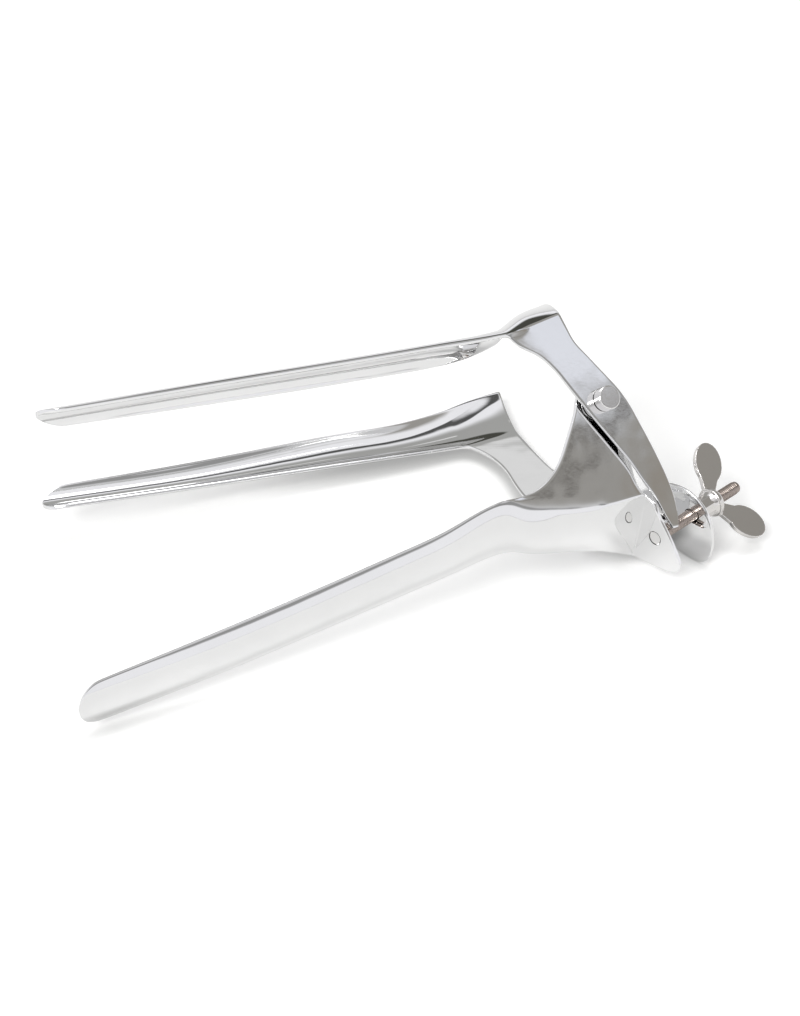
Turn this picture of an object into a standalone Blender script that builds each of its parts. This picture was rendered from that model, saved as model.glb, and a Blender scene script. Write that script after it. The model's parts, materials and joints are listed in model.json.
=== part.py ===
"""Three-bladed speculum, lying open on a table.

Three long trough blades are stamped from sheet, each with an arm folded from one
long edge. The upper blade swings on a rivet through the plate of the lower blade.
The side blade swings on a small rivet below it. A screw riveted in the ear of the
lower blade passes the ear of the side blade, and a wing nut on it spreads them.
Lengths are in millimetres here and become metres when the meshes are made.
"""
import math

import bmesh
import bpy
import numpy as np
from mathutils import Matrix, Vector

MM = 0.001
STEPS = 28

# Sheet and fits
SHEET = 1.2
GAP = 0.3
WASHER = 0.8

# Blades
BLADE_LENGTH = 138.0
BLADE_DEPTH = 3.3
TIP_DEPTH = 2.4
TIP_ROUND = 9.0
HEEL_DEPTH = 1.2
FLARE_WIDTH = 22.0
FLARE_LEAN = 3.2
UPPER_ALONG = (-0.962, -0.271, -0.021)
UPPER_FACES = 150.0
UPPER_FLARE = 14.0
UPPER_WIDTHS = [14.4, 13.2, 12.5, 10.2]
SIDE_ALONG = (-0.928, -0.367, 0.082)
SIDE_FACES = 264.0
SIDE_FLARE = 0.0
SIDE_WIDTHS = [15.6, 14.4, 10.6, 8.8]
LOWER_LENGTH = 135.0
LOWER_WIDTH = 17.0
LOWER_ALONG = (-0.889, -0.438, -0.147)
LOWER_FACES = -5.0
TIP_LIFT = 1.8

# Pivot of the upper blade, on the outer skin of the lower blade's plate
PIVOT = np.array([-32.8, 14.7, 51.5])
PIVOT_AXIS = (0.45, -0.61, 0.65)
PIVOT_SHANK = 4.0
PIVOT_HEAD = 7.2
PIVOT_HEAD_TALL = 3.4
PIVOT_TAIL_TALL = 1.2

# Screw, riveted in the lower blade's ear
SCREW_FOOT = np.array([-15.8, -4.5, 15.5])
SCREW_AXIS = (1.0, 1.0, 0.0)
SCREW_DIAMETER = 4.0
SCREW_LENGTH = 38.5
SCREW_COLLAR = 6.4
SCREW_COLLAR_TALL = 1.2
EAR_SPACING = 16.5

# Upright hinge of the side blade
HINGE_FROM_EAR = 5.0
HINGE_FROM_SCREW = 14.0
HINGE_SHANK = 3.0
HINGE_HEAD = 6.0
HINGE_HEAD_TALL = 1.0
ARM_LEVEL = 4.6
SLOT_TRAVEL = 4.2

# Wing nut
NUT_WASHER = 9.0
HUB_FOOT = 7.2
HUB_RING = 9.2
HUB_LENGTH = 9.0
WING_LENGTH = 13.6
WING_WIDTH = 9.6
WING_NECK = 3.8
WING_REACH = 9.5
WING_THICK = 1.6
WING_RADIUS = 10.6
WING_RISE = 14.6
WING_SLOPE = 38.0
WING_TURN = -140.3


def unit(vector):
    return np.asarray(vector, float) / np.linalg.norm(vector)


UP = np.array([0.0, 0.0, 1.0])
PLATE_NORMAL = unit(PIVOT_AXIS)
PLATE_RIGHT = unit(np.cross(UP, PLATE_NORMAL))
PLATE_UP = np.cross(PLATE_NORMAL, PLATE_RIGHT)
SCREW_DIR = unit(SCREW_AXIS)
EAR_RIGHT = np.cross(SCREW_DIR, UP)
SIDE_EAR = SCREW_FOOT + SCREW_DIR * EAR_SPACING
UPPER_LIFT = SHEET + WASHER + 2 * GAP
TAB_LEVEL = ARM_LEVEL + WASHER + 2 * GAP
HINGE = SIDE_EAR - SCREW_DIR * HINGE_FROM_EAR - EAR_RIGHT * HINGE_FROM_SCREW
HINGE[2] = ARM_LEVEL


def on_plate(right, up, lift=0.0):
    """A point in the plane of the pivot plates, measured from the pivot."""
    return PIVOT + PLATE_RIGHT * right + PLATE_UP * up + PLATE_NORMAL * lift


def on_upper_arm(right, up):
    return on_plate(right, up, UPPER_LIFT)


def on_lower_ear(right, up):
    return SCREW_FOOT + EAR_RIGHT * right + UP * up


def on_side_ear(right, up):
    return SIDE_EAR + EAR_RIGHT * right + UP * up


def on_side_arm(along, side):
    """A point of the side blade's flat arm, measured from its hinge."""
    return HINGE + EAR_RIGHT * along + SCREW_DIR * side


def on_tab(along, side):
    """A point of the lower blade's hinge tab, above that arm."""
    return on_side_arm(along, side) + UP * (TAB_LEVEL - ARM_LEVEL)


def through(knots, values, places):
    """A smooth curve through values given at knots, read at the places."""
    knots = np.asarray(knots, float)
    values = np.asarray(values, float)
    slopes = np.gradient(values, knots, axis=0)
    result = []
    for place in places:
        i = int(np.clip(np.searchsorted(knots, place) - 1, 0, len(knots) - 2))
        step = knots[i + 1] - knots[i]
        x = (place - knots[i]) / step
        result.append(
            values[i] * (1 + 2 * x) * (1 - x) ** 2
            + slopes[i] * step * x * (1 - x) ** 2
            + values[i + 1] * x * x * (3 - 2 * x)
            + slopes[i + 1] * step * x * x * (x - 1)
        )
    return np.array(result)


def across_blade(blade, faces, side):
    """The direction from a blade's first edge to its other edge."""
    front = unit((-blade[1], blade[0], 0.0))
    top = np.cross(blade, front)
    turn = math.radians(faces + 90.0 * side)
    return math.cos(turn) * front + math.sin(turn) * top


def tip_share(place, reach):
    """How much of the full width is left near the rounded tip."""
    inside = (place - (reach - TIP_ROUND)) / TIP_ROUND
    if inside <= 0:
        return 1.0
    return math.sqrt(max(1 - inside ** 2.2, 0.03))


def stations(heel, reach, heel_count, blade_count):
    """Places from a blade's free end to its tip; the heel ends at a station."""
    cap = reach - TIP_ROUND * (1 - np.sin(np.linspace(0, math.pi / 2, 6)))
    body = np.linspace(heel, reach - TIP_ROUND, blade_count)
    return np.concatenate((np.linspace(0, heel, heel_count + 1), body[1:], cap[1:]))


def troughs(first, second, depths, shares, columns, side):
    """Cross-sections that bulge between two edges of a blade."""
    middle = (first + second) / 2
    tangents = np.gradient(middle, axis=0)
    sections = []
    for a, b, tangent, depth, share in zip(first, second, tangents, depths, shares):
        half = np.linalg.norm(b - a) / 2
        across = unit(b - a)
        outward = side * unit(np.cross(tangent, across))
        radius = (half ** 2 + depth ** 2) / (2 * depth)
        row = []
        for x in np.linspace(-half, half, columns + 1) * share:
            rise = math.sqrt(radius ** 2 - x ** 2) - (radius - depth)
            row.append((a + b) / 2 + across * x + outward * rise)
        sections.append(row)
    return sections


def flared_blade(corner, crease, along, faces, side, flare, blade_widths):
    """The trough of the upper or the side blade, from its free end to its tip.

    corner is where the arm's crease ends on the blade's first edge, and crease is
    the vector from there to the free end. flare is how far the other edge swings
    out at that end, and blade_widths are the trough's widths from its root on."""
    heel = float(np.linalg.norm(crease))
    reach = heel + BLADE_LENGTH
    marks = [0, heel * 0.5, heel, heel + 14, heel + 40, heel + 90, reach]
    line = [corner + crease * (1 - m / heel) if m < heel else corner + along * (m - heel) for m in marks]
    wide = np.array([1.0, 0.95, 0.85])
    widths = list(FLARE_WIDTH * wide) + blade_widths
    swings = flare * np.array([1.08, 0.95, 0.5, 0.1, 0.0, 0.0, 0.0])
    leans = FLARE_LEAN * np.array([1.0, 0.5, 0.1, 0.0, 0.0, 0.0, 0.0])
    depths = [HEEL_DEPTH, HEEL_DEPTH * 1.8, BLADE_DEPTH * 0.8] + [BLADE_DEPTH] * 3 + [TIP_DEPTH]
    places = stations(heel, reach, 5, 14)
    first = through(marks, line, places)
    across = across_blade(along, faces, side)
    outward = -side * unit(np.cross(along, across))
    second = first + across * through(marks, widths, places)[:, None]
    second = second + outward * through(marks, swings, places)[:, None]
    second = second - along * through(marks, leans, places)[:, None]
    shares = [tip_share(place, reach) for place in places]
    return troughs(first, second, through(marks, depths, places), shares, 8, -side)


def fan(first_row, firsts, lasts, point, rows):
    """Rows of points that go on from first_row, between two outlines."""
    spans = np.array([np.linalg.norm(q - first_row[0]) for q in first_row])
    shares = spans / spans[-1]
    places = np.linspace(0, len(firsts), rows + 1)
    outlines = []
    for end, side in ((first_row[0], firsts), (first_row[-1], lasts)):
        corners = [end] + [point(*corner) for corner in side]
        outlines.append(through(range(len(corners)), corners, places))
    grid = [list(first_row)]
    for a, b in zip(outlines[0][1:], outlines[1][1:]):
        grid.append([a + (b - a) * share for share in shares])
    return grid


def shell_mesh(name, grids, facing, origin):
    """Join grids of points into one open sheet whose faces look along facing."""
    bm = bmesh.new()
    for grid in grids:
        verts = [[bm.verts.new(Vector((p - origin) * MM)) for p in row] for row in grid]
        for near, far in zip(verts, verts[1:]):
            for a, b, c, d in zip(near, near[1:], far[1:], far):
                bm.faces.new((a, b, c, d))
    bmesh.ops.remove_doubles(bm, verts=bm.verts, dist=0.01 * MM)
    bmesh.ops.recalc_face_normals(bm, faces=bm.faces)
    total = sum((face.normal * face.calc_area() for face in bm.faces), Vector())
    if total.dot(Vector(facing)) < 0:
        bmesh.ops.reverse_faces(bm, faces=bm.faces)
    return finish_mesh(bm, name)


def finish_mesh(bm, name):
    mesh = bpy.data.meshes.new(name)
    bm.to_mesh(mesh)
    bm.free()
    mesh.shade_smooth()
    return mesh


def collection(name):
    made = bpy.data.collections.new(name)
    bpy.context.scene.collection.children.link(made)
    return made


def steel(name, colour, roughness):
    """A polished metal, as a Principled material."""
    material = bpy.data.materials.new(name)
    material.use_nodes = True
    shader = material.node_tree.nodes["Principled BSDF"]
    shader.inputs["Base Color"].default_value = (*colour, 1.0)
    shader.inputs["Metallic"].default_value = 1.0
    shader.inputs["Roughness"].default_value = roughness
    return material


def place(name, mesh, origin, group, turn=None):
    obj = bpy.data.objects.new(name, mesh)
    obj.location = Vector(origin * MM)
    if turn is not None:
        obj.rotation_euler = turn.to_euler()
    group.objects.link(obj)
    return obj


def thicken(obj):
    wall = obj.modifiers.new("wall", "SOLIDIFY")
    wall.thickness = SHEET * MM
    wall.offset = -1.0
    wall.use_even_offset = True


def axes(right, direction):
    """The turn whose x runs along right and whose z runs along direction."""
    z = Vector(direction)
    x = Vector(right)
    return Matrix((x, z.cross(x), z)).transposed()


def prism_mesh(name, outline, depth):
    """A flat outline of points, made solid to a depth centred on its plane."""
    bm = bmesh.new()
    shift = Vector(depth) * MM
    base = [bm.verts.new(Vector(p) * MM - shift / 2) for p in outline]
    face = bm.faces.new(base)
    grown = bmesh.ops.extrude_face_region(bm, geom=[face])["geom"]
    moved = [item for item in grown if isinstance(item, bmesh.types.BMVert)]
    bmesh.ops.translate(bm, verts=moved, vec=shift)
    bmesh.ops.recalc_face_normals(bm, faces=bm.faces)
    return finish_mesh(bm, name)


def slot_outline(diameter, travel=0.0):
    """A round hole, or a slot that runs travel along x."""
    half = STEPS // 2
    points = []
    for centre, first in ((travel, -math.pi / 2), (0.0, math.pi / 2)):
        for i in range(half + 1):
            turn = first + math.pi * i / half
            points.append((centre + diameter / 2 * math.cos(turn), diameter / 2 * math.sin(turn), 0.0))
    if travel == 0.0:
        points = points[:half] + points[half + 1:-1]
    return points


def combine(obj, name, mesh, origin, turn, operation):
    """Join a hidden shape to an object, or cut it out."""
    cutter = place(name, mesh, origin, CUTTERS, turn)
    cutter.hide_render = True
    cutter.display_type = "WIRE"
    change = obj.modifiers.new(name, "BOOLEAN")
    change.object = cutter
    change.operation = operation
    change.solver = "EXACT"


def drill(obj, name, diameter, origin, turn, travel=0.0):
    mesh = prism_mesh(name, slot_outline(diameter, travel), (0, 0, 4 * SHEET))
    combine(obj, name, mesh, origin, turn, "DIFFERENCE")


def turned(name, profile, origin, turn, closed=False):
    """A turned piece: a profile of radius and height, from the top down."""
    mesh = bpy.data.meshes.new(name)
    edges = [(i, i + 1) for i in range(len(profile) - 1)]
    if closed:
        edges.append((len(profile) - 1, 0))
    mesh.from_pydata([(r * MM, 0.0, h * MM) for r, h in profile], edges, [])
    obj = place(name, mesh, origin, PARTS, turn)
    spin = obj.modifiers.new("turn", "SCREW")
    spin.steps = STEPS
    spin.render_steps = STEPS
    spin.use_merge_vertices = True
    spin.merge_threshold = 0.00001
    return obj


def ring_profile(inner, outer, low, high):
    return [(inner, high), (outer, high), (outer, low), (inner, low)]


def upper_blade():
    corner = on_upper_arm(-22.6, 28.5)
    crease = on_upper_arm(-2.5, 28.8) - corner
    sections = flared_blade(corner, crease, unit(UPPER_ALONG), UPPER_FACES, 1, UPPER_FLARE, UPPER_WIDTHS)
    first_row = [row[0] for row in sections[:6]][::-1]
    inner = [(-19.8, 23.7), (-14.9, 19.2), (-11.6, 13.6), (-9.7, 8.2), (-7.6, 2.2),
             (-5.6, -3.4), (-3.4, -9.2), (-1.2, -15.0), (0.9, -20.8), (2.2, -26.5),
             (3.8, -32.2), (4.5, -38.0), (5.5, -43.2)]
    outer = [(-2.0, 24.0), (-1.4, 19.0), (1.1, 13.4), (4.0, 7.0), (6.5, 1.4),
             (8.1, -4.4), (8.9, -10.6), (9.6, -16.4), (10.1, -22.2), (10.4, -28.8),
             (10.0, -34.8), (8.7, -40.0), (7.2, -43.4)]
    arm = fan(first_row, inner, outer, on_upper_arm, 24)
    skin = shell_mesh("upper_blade", [sections, arm], PLATE_NORMAL, PIVOT)
    obj = place("upper_blade", skin, PIVOT, PARTS)
    thicken(obj)
    hole = on_upper_arm(0, 0)
    drill(obj, "upper_pivot_hole", PIVOT_SHANK + 2 * GAP, hole, axes(PLATE_RIGHT, PLATE_NORMAL))
    return obj


def lower_blade():
    along = unit(LOWER_ALONG)
    across = across_blade(along, LOWER_FACES, -1)
    heel = 46.0
    corner = on_plate(-44.6, -15.6)
    reach = heel + LOWER_LENGTH
    marks = [0, 16, 30, 38, heel, heel + 14, heel + 40, heel + 90, reach]
    far_heel = corner + across * FLARE_WIDTH * 0.93
    creases = [(2.3, -30.7), (-14.6, -28.9), (-28.0, -24.6), (-37.4, -20.1), (-44.6, -15.6)]
    rims = [on_lower_ear(-8.3, -10.6), np.array([-31.8, -6.2, 11.7]), np.array([-43.9, -12.8, 16.0]),
            np.array([-53.0, -17.8, 18.9]), far_heel]
    widths = [LOWER_WIDTH * 1.06, LOWER_WIDTH, LOWER_WIDTH * 0.97, LOWER_WIDTH * 0.9]
    far_line = [far_heel + along * (mark - heel) for mark in marks[5:]]
    far_line[-1] = far_line[-1] + UP * TIP_LIFT
    near_line = [far - across * width for far, width in zip(far_line, widths)]
    places = stations(heel, reach, 9, 14)
    first = through(marks, [on_plate(*c) for c in creases] + near_line, places)
    second = through(marks, rims + far_line, places)
    depths = through(marks, [0.6, 1.2, 2.0, 2.8] + [BLADE_DEPTH] * 4 + [TIP_DEPTH], places)
    shares = [tip_share(place_at, reach) for place_at in places]
    sections = troughs(first, second, depths, shares, 8, 1)

    crease = [row[0] for row in sections[:10]][::-1]
    left = [(-35.3, -17.0), (-27.9, -15.8), (-21.6, -12.2), (-15.6, -6.6), (-9.6, -0.4),
            (-6.6, 3.8), (-2.6, 7.2)]
    right = [(1.4, -26.0), (2.2, -21.0), (3.6, -15.4), (5.8, -9.4), (7.4, -2.6),
             (6.6, 3.8), (2.6, 7.2)]
    plate = fan(crease, left, right, on_plate, 14)

    tops = [(-1.2, 11.3), (1.6, 7.2), (4.2, 4.0), (6.8, 0.5), (8.9, -2.8), (10.1, -5.0)]
    bottoms = [(-4.4, -10.5), (-0.6, -10.3), (3.2, -10.0), (6.4, -9.4), (8.6, -8.4), (9.8, -6.9)]
    ear = fan(sections[0], tops, bottoms, on_lower_ear, 9)

    rim = [row[-1] for row in sections[:4]][::-1]
    near = [(-12.0, -14.0), (-7.5, -8.0), (-6.2, -2.0), (-3.5, 3.2)]
    far = [(1.0, -11.5), (4.6, -6.5), (5.6, -1.0), (3.2, 4.0)]
    tab = fan(rim, near, far, on_tab, 7)

    skin = shell_mesh("lower_blade", [sections, plate, ear, tab], -UP - SCREW_DIR, PIVOT)
    obj = place("lower_blade", skin, PIVOT, PARTS)
    thicken(obj)
    drill(obj, "lower_pivot_hole", PIVOT_SHANK + 2 * GAP, PIVOT, axes(PLATE_RIGHT, PLATE_NORMAL))
    drill(obj, "screw_hole", SCREW_DIAMETER + 2 * GAP, SCREW_FOOT, axes(EAR_RIGHT, SCREW_DIR))
    drill(obj, "tab_hole", HINGE_SHANK + 2 * GAP, on_tab(0, 0), axes(EAR_RIGHT, UP))
    return obj


def side_blade():
    corner = on_side_arm(-72.1, -3.4)
    crease = on_side_arm(-65.5, 14.0) - corner
    sections = flared_blade(corner, crease, unit(SIDE_ALONG), SIDE_FACES, -1, SIDE_FLARE, SIDE_WIDTHS)
    first_row = [row[0] for row in sections[:6]][::-1]
    left = [(-66.0, -2.4), (-60.0, -2.6), (-53.0, -4.6), (-46.0, -8.2), (-38.0, -11.6),
            (-30.0, -12.6), (-21.0, -11.6), (-12.0, -9.4), (-4.0, -6.6), (3.0, -5.2), (6.0, -2.4)]
    right = [(-58.0, 11.2), (-52.0, 9.0), (-45.0, 6.8), (-38.0, 5.5), (-30.0, HINGE_FROM_EAR),
             (-22.0, HINGE_FROM_EAR), (-16.0, HINGE_FROM_EAR), (-10.0, HINGE_FROM_EAR),
             (-4.0, HINGE_FROM_EAR), (3.0, 4.4), (6.0, 1.6)]
    arm = fan(first_row, left, right, on_side_arm, 22)

    fold = [arm[i][-1] for i in range(12, 19)]
    tops = [(-27.0, -6.0), (-20.0, -0.6), (-14.0, 4.6), (-8.3, 7.5), (-2.0, 8.0),
            (3.8, 5.6), (7.4, 1.0), (8.9, -5.0), (8.6, -9.0)]
    bottoms = [(-15.5, -12.0), (-12.0, -13.2), (-8.0, -14.2), (-4.0, -15.0), (-0.6, -15.4),
               (2.6, -15.5), (5.2, -14.8), (7.2, -13.2), (8.1, -11.4)]
    ear = fan(fold, tops, bottoms, on_side_ear, 14)

    skin = shell_mesh("side_blade", [sections, arm, ear], UP - SCREW_DIR, HINGE)
    obj = place("side_blade", skin, HINGE, PARTS)
    thicken(obj)
    drill(obj, "arm_hole", HINGE_SHANK + 2 * GAP, HINGE, axes(EAR_RIGHT, UP))
    ear_turn = axes(EAR_RIGHT, SCREW_DIR)
    drill(obj, "ear_slot", SCREW_DIAMETER + 2 * GAP, SIDE_EAR, ear_turn, SLOT_TRAVEL)
    return obj


def pivot_rivet():
    low = UPPER_LIFT + GAP
    top = low + PIVOT_HEAD_TALL
    under = -SHEET - GAP
    bottom = under - PIVOT_TAIL_TALL
    head = PIVOT_HEAD / 2
    shank = PIVOT_SHANK / 2
    tail = shank + 1.0
    profile = [(0, top), (head - 0.5, top), (head, top - 0.5), (head, low), (shank, low),
               (shank, under), (tail, under), (tail - 0.4, bottom), (0, bottom)]
    return turned("pivot_rivet", profile, PIVOT, axes(PLATE_RIGHT, PLATE_NORMAL))


def pivot_washer():
    profile = ring_profile(PIVOT_SHANK / 2 + GAP, PIVOT_HEAD / 2 + 1.6, GAP, GAP + WASHER)
    return turned("pivot_washer", profile, PIVOT, axes(PLATE_RIGHT, PLATE_NORMAL), True)


def hinge_rivet():
    low = TAB_LEVEL - ARM_LEVEL + SHEET + GAP
    top = low + HINGE_HEAD_TALL
    under = -SHEET - GAP
    bottom = under - HINGE_HEAD_TALL
    head = HINGE_HEAD / 2
    shank = HINGE_SHANK / 2
    profile = [(0, top), (head - 0.4, top), (head, low), (shank, low), (shank, under),
               (head, under), (head - 0.4, bottom), (0, bottom)]
    return turned("hinge_rivet", profile, HINGE, axes(EAR_RIGHT, UP))


def hinge_washer():
    profile = ring_profile(HINGE_SHANK / 2 + GAP, HINGE_HEAD / 2 + 0.8, GAP, GAP + WASHER)
    return turned("hinge_washer", profile, HINGE, axes(EAR_RIGHT, UP), True)


def screw_stud():
    radius = SCREW_DIAMETER / 2
    collar = SHEET + GAP
    shoulder = collar + SCREW_COLLAR_TALL
    profile = [(0, SCREW_LENGTH), (radius - 0.7, SCREW_LENGTH), (radius, SCREW_LENGTH - 0.9),
               (radius, shoulder), (SCREW_COLLAR / 2, shoulder), (SCREW_COLLAR / 2, collar),
               (radius, collar), (radius, 0.1), (0, 0.1)]
    return turned("screw_stud", profile, SCREW_FOOT, axes(EAR_RIGHT, SCREW_DIR))


def nut_seat():
    """Where the nut's washer lies on the outer face of the side blade's ear."""
    return SIDE_EAR + SCREW_DIR * (SHEET + GAP)


def nut_washer():
    profile = ring_profile(SCREW_DIAMETER / 2 + GAP, NUT_WASHER / 2, 0, WASHER)
    return turned("nut_washer", profile, nut_seat(), axes(EAR_RIGHT, SCREW_DIR), True)


def wing_mesh(name, turn):
    """One thumb wing: a paddle on a short neck, standing out from the hub."""
    out = np.array([math.cos(turn), math.sin(turn), 0.0])
    broad = np.array([-math.sin(turn), math.cos(turn), 0.0])
    slope = math.radians(WING_SLOPE)
    reach = out * math.cos(slope) + UP * math.sin(slope)
    rise = UP * math.cos(slope) - out * math.sin(slope)
    centre = out * WING_RADIUS + UP * WING_RISE
    paddle = [(-WING_REACH, -WING_NECK / 2)]
    for angle in np.radians(np.linspace(-140, 140, 19)):
        paddle.append((WING_LENGTH / 2 * math.cos(angle), WING_WIDTH / 2 * math.sin(angle)))
    paddle.append((-WING_REACH, WING_NECK / 2))
    outline = [centre + reach * a + rise * b for a, b in paddle]
    return prism_mesh(name, outline, broad * WING_THICK)


def wing_nut():
    origin = nut_seat() + SCREW_DIR * (WASHER + GAP)
    turn = axes(EAR_RIGHT, SCREW_DIR)
    foot = HUB_FOOT / 2
    ring = HUB_RING / 2
    profile = [(0, HUB_LENGTH), (ring - 0.6, HUB_LENGTH), (ring, HUB_LENGTH - 0.8),
               (ring, HUB_LENGTH - 2.4), (foot, HUB_LENGTH / 2), (foot, 0), (0, 0)]
    obj = turned("wing_nut", profile, origin, turn)
    for name, angle in (("first_wing", WING_TURN), ("second_wing", WING_TURN + 180)):
        combine(obj, name, wing_mesh(name, math.radians(angle)), origin, turn, "UNION")
    bore = prism_mesh("nut_bore", slot_outline(SCREW_DIAMETER + 2 * GAP), (0, 0, 3 * HUB_LENGTH))
    combine(obj, "nut_bore", bore, origin, turn, "DIFFERENCE")
    return obj


def settle():
    """Move everything so that the middle of its footprint is the origin."""
    bpy.context.view_layer.update()
    graph = bpy.context.evaluated_depsgraph_get()
    corners = []
    for obj in PARTS.objects:
        shown = obj.evaluated_get(graph)
        corners += [shown.matrix_world @ vert.co for vert in shown.data.vertices]
    corners = np.array(corners)
    low = corners.min(axis=0)
    middle = (low + corners.max(axis=0)) / 2
    shift = Vector((-middle[0], -middle[1], -low[2]))
    for obj in list(PARTS.objects) + list(CUTTERS.objects):
        obj.location += shift


for old in list(bpy.data.objects):
    bpy.data.objects.remove(old, do_unlink=True)
PARTS = collection("speculum")
CUTTERS = collection("cutters")

sheet_steel = steel("polished_sheet", (0.80, 0.79, 0.77), 0.06)
for blade in (upper_blade(), lower_blade(), side_blade()):
    blade.data.materials.append(sheet_steel)
turned_steel = steel("turned_steel", (0.76, 0.75, 0.73), 0.12)
for small in (pivot_rivet(), pivot_washer(), hinge_rivet(), hinge_washer(), screw_stud(), nut_washer()):
    small.data.materials.append(turned_steel)
cast_steel = steel("cast_steel", (0.78, 0.76, 0.73), 0.10)
wing_nut().data.materials.append(cast_steel)
settle()
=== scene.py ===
import json
import math

import bmesh
import bpy
import numpy as np
from mathutils import Matrix, Vector


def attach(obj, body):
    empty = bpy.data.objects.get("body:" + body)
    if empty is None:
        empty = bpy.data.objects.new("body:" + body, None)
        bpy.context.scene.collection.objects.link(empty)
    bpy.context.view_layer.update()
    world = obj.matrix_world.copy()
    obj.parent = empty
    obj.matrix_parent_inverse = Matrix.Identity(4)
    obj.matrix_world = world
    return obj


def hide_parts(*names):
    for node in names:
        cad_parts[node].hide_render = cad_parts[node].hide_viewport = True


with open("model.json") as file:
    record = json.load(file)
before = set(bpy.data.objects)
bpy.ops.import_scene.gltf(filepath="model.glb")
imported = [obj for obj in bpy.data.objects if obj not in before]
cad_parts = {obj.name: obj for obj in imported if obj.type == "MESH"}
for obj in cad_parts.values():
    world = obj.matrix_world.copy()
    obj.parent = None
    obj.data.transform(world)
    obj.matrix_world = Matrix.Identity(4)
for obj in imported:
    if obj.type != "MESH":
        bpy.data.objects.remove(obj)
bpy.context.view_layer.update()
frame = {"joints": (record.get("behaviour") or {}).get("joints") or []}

MM = 0.001

# Sizes in millimetres and angles in degrees, as in the part's own source
SHEET = 1.2
GAP = 0.3
WASHER = 0.8
BLADE_LENGTH = 138.0
BLADE_DEPTH = 3.3
TIP_DEPTH = 2.4
TIP_ROUND = 9.0
HEEL_DEPTH = 1.2
FLARE_WIDTH = 22.0
FLARE_LEAN = 3.2
UPPER_ALONG = (-0.962, -0.271, -0.021)
UPPER_FACES = 150.0
UPPER_FLARE = 14.0
UPPER_WIDTHS = [14.4, 13.2, 12.5, 10.2]
SIDE_ALONG = (-0.928, -0.367, 0.082)
SIDE_FACES = 264.0
SIDE_FLARE = 0.0
SIDE_WIDTHS = [15.6, 14.4, 10.6, 8.8]
LOWER_LENGTH = 135.0
LOWER_WIDTH = 17.0
LOWER_ALONG = (-0.889, -0.438, -0.147)
LOWER_FACES = -5.0
TIP_LIFT = 1.8
LOWER_HEEL = 46.0
PIVOT = np.array([-32.8, 14.7, 51.5])
PIVOT_SHANK = 4.0
PIVOT_HEAD = 7.2
PIVOT_HEAD_TALL = 3.4
PIVOT_TAIL_TALL = 1.2
PIVOT_TAIL_RIM = 1.0
PIVOT_WASHER_RIM = 1.6
SCREW_FOOT = np.array([-15.8, -4.5, 15.5])
SCREW_DIAMETER = 4.0
SCREW_LENGTH = 38.5
SCREW_COLLAR = 6.4
SCREW_COLLAR_TALL = 1.2
EAR_SPACING = 16.5
HINGE_FROM_EAR = 5.0
HINGE_FROM_SCREW = 14.0
HINGE_SHANK = 3.0
HINGE_HEAD = 6.0
HINGE_HEAD_TALL = 1.0
HINGE_WASHER_RIM = 0.8
ARM_LEVEL = 4.6
SLOT_TRAVEL = 4.2
NUT_WASHER = 9.0
HUB_FOOT = 7.2
HUB_RING = 9.2
HUB_LENGTH = 9.0
WING_LENGTH = 13.6
WING_WIDTH = 9.6
WING_NECK = 3.8
WING_REACH = 9.5
WING_THICK = 1.6
WING_RADIUS = 10.6
WING_RISE = 14.6
WING_SLOPE = 38.0
WING_TURN = -140.3

# What only the polished pieces have: a thread, flats, soft joins and fine steps
THREAD_PITCH = 0.7
THREAD_DEPTH = 0.14
THREAD_RIDGE = 0.25
THREAD_START = 0.2
THREAD_SHORT = 1.6
NECK_FLATS = 9
NECK_STEP = 0.3
RING_STEP = 0.7
RING_TOP = 0.9
RING_FOOT = 2.4
CAST_VOXEL = 0.16
CAST_SOFTENING = 4
WELD = 0.01
COLUMNS = 12
HEEL_ROWS = 12
BODY_ROWS = 16
UPPER_ARM_ROWS = 39
SIDE_ARM_ROWS = 33
SIDE_EAR_ROWS = 27
SIDE_EAR_FOLD = (18, 28)
PLATE_ROWS = 21
EAR_ROWS = 12
TAB_ROWS = 12
ROUND_STEPS = 96
FOLD_CREASE = 0.85
RIM_CREASE = 0.35
FOLD_ANGLE = 32

# The room round the table: azimuths and heights in degrees, softness, colour.
# The panels are fitted to the photo's tones from its own angle, not a real room.
ROOM_WHITE = (0.99, 0.99, 1.02)
ROOM_PANELS = [
    ((-400, 400), (26, 50), 5.0, (0.66, 0.66, 0.67)),
    ((-78, -20), (23, 36), 2.0, (0.34, 0.34, 0.34)),
    ((-18, 62), (20, 56), 4.0, (0.37, 0.36, 0.34)),
    ((62, 130), (9, 50), 6.0, (0.42, 0.42, 0.41)),
    ((88, 99), (5, 19), 2.0, (0.07, 0.07, 0.06)),
    ((40, 74), (58.5, 64), 1.5, (0.10, 0.10, 0.10)),
    ((84.5, 88.5), (33.2, 36.2), 0.5, (0.84, 0.84, 0.84)),
    ((-12.6, -9.0), (31.9, 33.2), 0.6, (0.57, 0.58, 0.60)),
    ((-12.6, -9.0), (33.0, 37.0), 0.5, (0.88, 0.90, 0.97)),
    ((-13.0, -9.0), (29.0, 30.9), 0.9, (0.32, 0.29, 0.25)),
    ((-20, 20), (32.2, 32.45), 0.1, (0.14, 0.13, 0.12)),
]
ROOM_FILL = 0.40

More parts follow.
